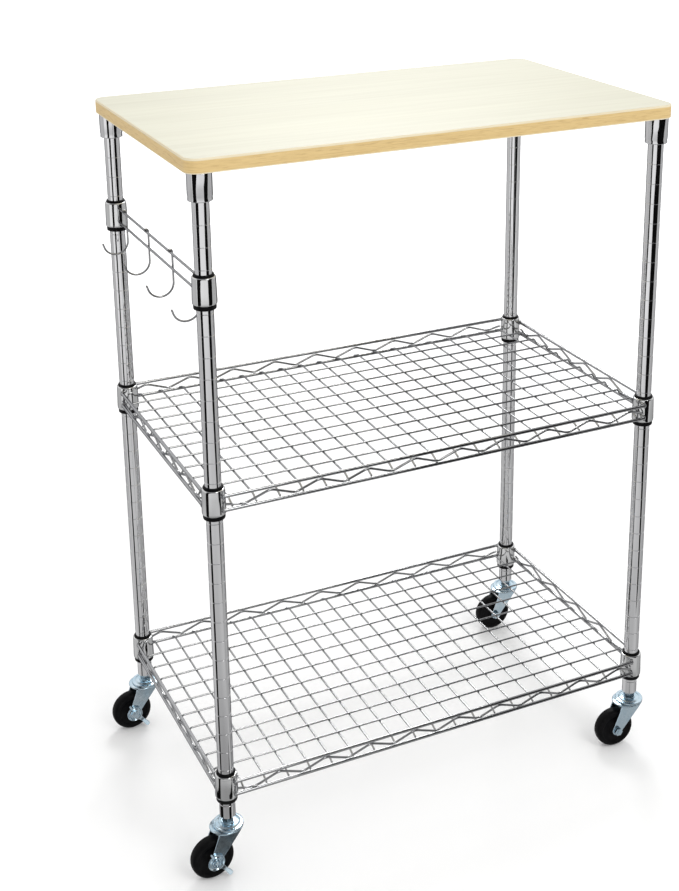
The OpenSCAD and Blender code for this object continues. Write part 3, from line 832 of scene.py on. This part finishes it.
def make_caster_tops():
    """Dished top plates, and washers with nuts, each a turned or cut solid per caster."""
    low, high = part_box("caster_top_plates")
    bm = bmesh.new()
    rim, bore = PLATE_R, STEM_BORE
    for c in CORNERS:
        place = Matrix.Translation((POST[c].x, POST[c].y, 0))
        profile = [(bore, high.z - 0.0016), (0.0114, high.z - 0.0016), (0.0130, high.z - 0.0023),
                   (rim - 0.0012, low.z + 0.0009), (rim - 0.0012, low.z), (rim - 0.0002, low.z),
                   (rim, low.z + 0.0003), (rim, low.z + 0.0012)]
        profile += arc(rim - 0.0009, low.z + 0.0014, 0.0009, 5, 80, 5)
        profile += [(0.0158, high.z - 0.0014), (0.0146, high.z - 0.0013), (0.0138, high.z - 0.0009),
                    (0.0128, high.z - 0.0003), (0.0118, high.z), (bore, high.z)]
        lathe(bm, profile, place)
    piece("caster_dished_plates", bm, "caster_top_plates", smooth_angle=50)

    low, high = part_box("caster_lock_nuts")
    bm = bmesh.new()
    for c in CORNERS:
        place = Matrix.Translation((POST[c].x, POST[c].y, 0))
        lathe(bm, [(0.00405, low.z), (0.0082, low.z), (0.0084, low.z + 0.0003), (0.0084, low.z + 0.0011),
                   (0.0081, low.z + 0.0014), (0.00405, low.z + 0.0014)], place)
        slab(bm, hexagon(0.013, 7.0), low.z + 0.00145, high.z, place)
    piece("caster_nuts_and_washers", bm, "caster_lock_nuts", bevel=0.0005)


# ---------------------------------------------------------------- stage, light and camera

def staged_plane(name, corners, mat):
    mesh = bpy.data.meshes.new(name)
    mesh.from_pydata([tuple(c) for c in corners], [], [tuple(range(len(corners)))])
    obj = bpy.data.objects.new(name, mesh)
    bpy.context.scene.collection.objects.link(obj)
    mesh.materials.append(mat)
    return obj


CAMERA_PLACE = Vector((-0.7624, -1.5990, 1.2451))
CAMERA_PAN = 25.982             # degrees clockwise from +Y
CAMERA_DOWN = 17.382
CAMERA_ROLL = -0.279
SENSOR = 36.0


def make_camera():
    data = bpy.data.cameras.new("camera")
    data.sensor_fit = "AUTO"
    data.sensor_width = SENSOR
    data.lens = 60.165
    data.shift_x = -0.0604
    data.shift_y = -0.2154
    data.clip_start = 0.01
    camera = bpy.data.objects.new("camera", data)
    bpy.context.scene.collection.objects.link(camera)
    pan = Matrix.Rotation(math.radians(-CAMERA_PAN), 4, "Z")
    tilt = Matrix.Rotation(math.radians(90 - CAMERA_DOWN), 4, "X")
    roll = Matrix.Rotation(math.radians(CAMERA_ROLL), 4, "Z")
    camera.matrix_world = Matrix.Translation(CAMERA_PLACE) @ pan @ tilt @ roll
    bpy.context.scene.camera = camera


def area_light(name, place, target, size, power):
    data = bpy.data.lights.new(name, "AREA")
    data.shape = "RECTANGLE"
    data.size, data.size_y = size
    data.energy = power
    light = bpy.data.objects.new(name, data)
    bpy.context.scene.collection.objects.link(light)
    aim = (Vector(target) - Vector(place)).to_track_quat("-Z", "Y")
    light.matrix_world = Matrix.Translation(place) @ aim.to_matrix().to_4x4()
    return light


def make_world():
    """A white studio for the camera and the diffuse light; reflections see its walls graded in tone."""
    world = bpy.data.worlds.new("studio")
    bpy.context.scene.world = world
    world.use_nodes = True
    tree = world.node_tree
    tree.nodes.clear()
    coords = node(tree, "ShaderNodeTexCoord")
    split = node(tree, "ShaderNodeSeparateXYZ")
    tree.links.new(coords.outputs["Generated"], split.inputs["Vector"])
    around = node(tree, "ShaderNodeMath", operation="ARCTAN2")
    tree.links.new(split.outputs["Y"], around.inputs[0])
    tree.links.new(split.outputs["X"], around.inputs[1])
    share = node(tree, "ShaderNodeMapRange")
    share.inputs["From Min"].default_value = -math.pi
    share.inputs["From Max"].default_value = math.pi
    tree.links.new(around.outputs[0], share.inputs["Value"])

    def place(degrees):
        return ((degrees + 180) % 360) / 360

    def band(tones):
        return ramp(tree, share.outputs["Result"], sorted(
            [(place(FACING + turn), (tone, tone, tone * 1.01)) for turn, tone in tones]))

    height = split.outputs["Z"]
    level = band(WALLS[0][1])
    for (top, _), (bottom, tones) in zip(WALLS, WALLS[1:]):
        level = mixed(tree, step_up(tree, height, bottom, top), band(tones), level)
    ceiling = node(tree, "ShaderNodeRGB")
    ceiling.outputs[0].default_value = (0.30, 0.30, 0.31, 1)
    above = mixed(tree, step_up(tree, height, *CEILING_EDGE), band(UPPER), ceiling.outputs[0])
    around_all = mixed(tree, step_up(tree, height, *HORIZON_EDGE), level, above)
    seen = node(tree, "ShaderNodeBackground", Strength=1.0)
    tree.links.new(around_all, seen.inputs["Color"])
    lit = node(tree, "ShaderNodeBackground", Color=(1, 1, 1, 1), Strength=LIGHT)
    backdrop = node(tree, "ShaderNodeBackground", Color=(1, 1, 1, 1), Strength=1.0)
    rays = node(tree, "ShaderNodeLightPath")
    glossy = node(tree, "ShaderNodeMixShader")
    straight = node(tree, "ShaderNodeMixShader")
    out = node(tree, "ShaderNodeOutputWorld")
    tree.links.new(rays.outputs["Is Glossy Ray"], glossy.inputs["Fac"])
    tree.links.new(lit.outputs[0], glossy.inputs[1])
    tree.links.new(seen.outputs[0], glossy.inputs[2])
    tree.links.new(rays.outputs["Is Camera Ray"], straight.inputs["Fac"])
    tree.links.new(glossy.outputs[0], straight.inputs[1])
    tree.links.new(backdrop.outputs[0], straight.inputs[2])
    tree.links.new(straight.outputs[0], out.inputs["Surface"])


FACING = -90 - CAMERA_PAN       # degrees: the direction that faces the camera
# tones of the studio's walls in reflections, as (degrees round from FACING, tone): below the horizon
# a row for each sine of the elevation, above it one row
WALLS = (
    (-0.31, ((-170, 0.14), (-152, 0.30), (-140, 0.60), (-100, 0.56), (-70, 0.50), (-40, 0.90), (0, 0.84),
             (50, 0.80), (80, 0.50), (110, 0.48), (130, 0.60), (150, 0.14), (165, 0.12))),
    (-0.42, ((-170, 0.14), (-152, 0.30), (-140, 0.55), (-100, 0.52), (-72, 0.46), (-40, 0.68), (0, 0.60),
             (50, 0.58), (80, 0.44), (110, 0.42), (130, 0.55), (150, 0.14), (165, 0.12))),
    (-0.53, ((-170, 0.20), (-150, 0.60), (-110, 0.70), (-70, 0.55), (-40, 0.48), (0, 0.48), (45, 0.56),
             (62, 0.55), (80, 0.40), (100, 0.46), (130, 0.50), (150, 0.20), (165, 0.16))),
    (-0.60, ((-170, 0.20), (-150, 0.50), (-100, 0.52), (-76, 0.46), (-69, 0.13), (-59, 0.15), (-52, 0.34),
             (0, 0.31), (48, 0.33), (70, 0.42), (76, 0.60), (90, 0.48), (100, 0.20), (108, 0.34),
             (130, 0.5), (150, 0.2))))
UPPER = ((-150, 0.92), (-100, 0.7), (-60, 0.10), (-30, 0.14), (0, 0.30), (40, 0.14), (80, 0.30),
         (120, 0.9), (170, 1.0))
HORIZON_EDGE = (-0.06, 0.10)    # sines of the elevation between which WALLS[0] turns into UPPER
CEILING_EDGE = (0.72, 0.86)     # and UPPER into the even ceiling
LIGHT = 0.88                    # strength of the studio's diffuse light
# black flags beside the camera, which only reflections see: the left one stands along Y at FLAG_X,
# the others along X at FLAG_Y, each given by its outline
FLAG_X = -0.93
FLAG_Y = -0.91
LEFT_FLAG = ((-0.23, 1.3), (-0.95, 1.3), (-0.95, 0.62), (-0.68, 0.5), (-0.66, 0.34), (-0.46, 0.22),
             (-0.37, -0.12), (-0.24, -0.41), (0.05, -0.52), (0.60, -0.74), (0.60, -0.60), (0.16, -0.42),
             (-0.04, -0.33), (-0.05, -0.12), (-0.10, 0.22), (-0.23, 0.4))
RIGHT_FLAG = ((0.10, 1.3), (1.9, 1.3), (1.9, 0.62), (1.3, 0.5), (0.9, 0.3), (0.66, 0.1), (0.75, -0.25),
              (0.45, -0.25), (0.30, 0.02), (0.15, 0.10), (-0.04, 0.35), (-0.04, 0.55), (0.10, 0.62))
LOW_FLAG = ((-0.22, -0.47), (0.30, -0.47), (0.36, -0.53), (0.36, -0.655), (-0.04, -0.655),
            (-0.06, -0.56), (-0.22, -0.53))


def make_stage():
    white, tree, shader = material("floor_white", 0.6, color=(0.93, 0.93, 0.93))
    shader.inputs["Specular IOR Level"].default_value = 0.2
    # the floor glows more with the distance, so that it runs into the white backdrop
    reach = node(tree, "ShaderNodeVectorMath", operation="LENGTH")
    tree.links.new(object_coords(tree, (1, 1, 1)), reach.inputs[0])
    glow = spread(tree, step_up(tree, reach.outputs["Value"], 0.7, 3.0), 0.05, 0.4)
    tree.links.new(glow, shader.inputs["Emission Strength"])
    shader.inputs["Emission Color"].default_value = (1, 1, 1, 1)
    half = 14.0
    square = [(x * half, y * half, 0) for x, y in ((-1, -1), (1, -1), (1, 1), (-1, 1))]
    ground = staged_plane("floor", square, white)
    ground.visible_glossy = False       # so that the chrome mirrors the flags and walls all the way down
    black, _, shader = material("flag_black", 1.0, color=(0.004, 0.004, 0.004))
    shader.inputs["Specular IOR Level"].default_value = 0.0
    for name, corners in (("flag_left", [(FLAG_X, y, z) for y, z in LEFT_FLAG]),
                          ("flag_right", [(x, FLAG_Y, z) for x, z in RIGHT_FLAG]),
                          ("flag_low", [(x, FLAG_Y, z) for x, z in LOW_FLAG])):
        flag = staged_plane(name, corners, black)
        flag.visible_camera = False
        flag.visible_diffuse = False
        flag.visible_shadow = False
    area_light("key_softbox", (0.9, -3.0, 3.2), (0, 0, 0.5), (1.6, 1.6), 36)
    area_light("back_softbox", (1.2, 2.6, 3.0), (0, 0, 0.6), (1.1, 1.1), 40)
    make_world()
    bpy.context.scene.view_settings.view_transform = "Standard"


def build():
    finish_cad_nodes()
    make_camera()
    make_stage()
    make_top()
    for c in CORNERS:
        make_post(c)
        make_socket(c)
        make_wheel(c)
        make_fork(c)
        make_axle(c)
        if "brake_lever_" + c in frame["nodes"]:
            make_brake(c)
    for group in SHELVES:
        make_collars(group, CORNERS)
        make_sleeves(group, CORNERS)
        make_edge_rods(group)
        make_truss(group)
        make_mesh_wires(group, "long_wires", LONG_COUNT, True)
        make_mesh_wires(group, "cross_wires", CROSS_COUNT, False)
    make_collars("hook_rail", ("fl", "bl"))
    make_sleeves("hook_rail", ("fl", "bl"))
    make_rail()
    for i in range(1, 5):
        make_hook(i)
    make_caster_tops()


build()
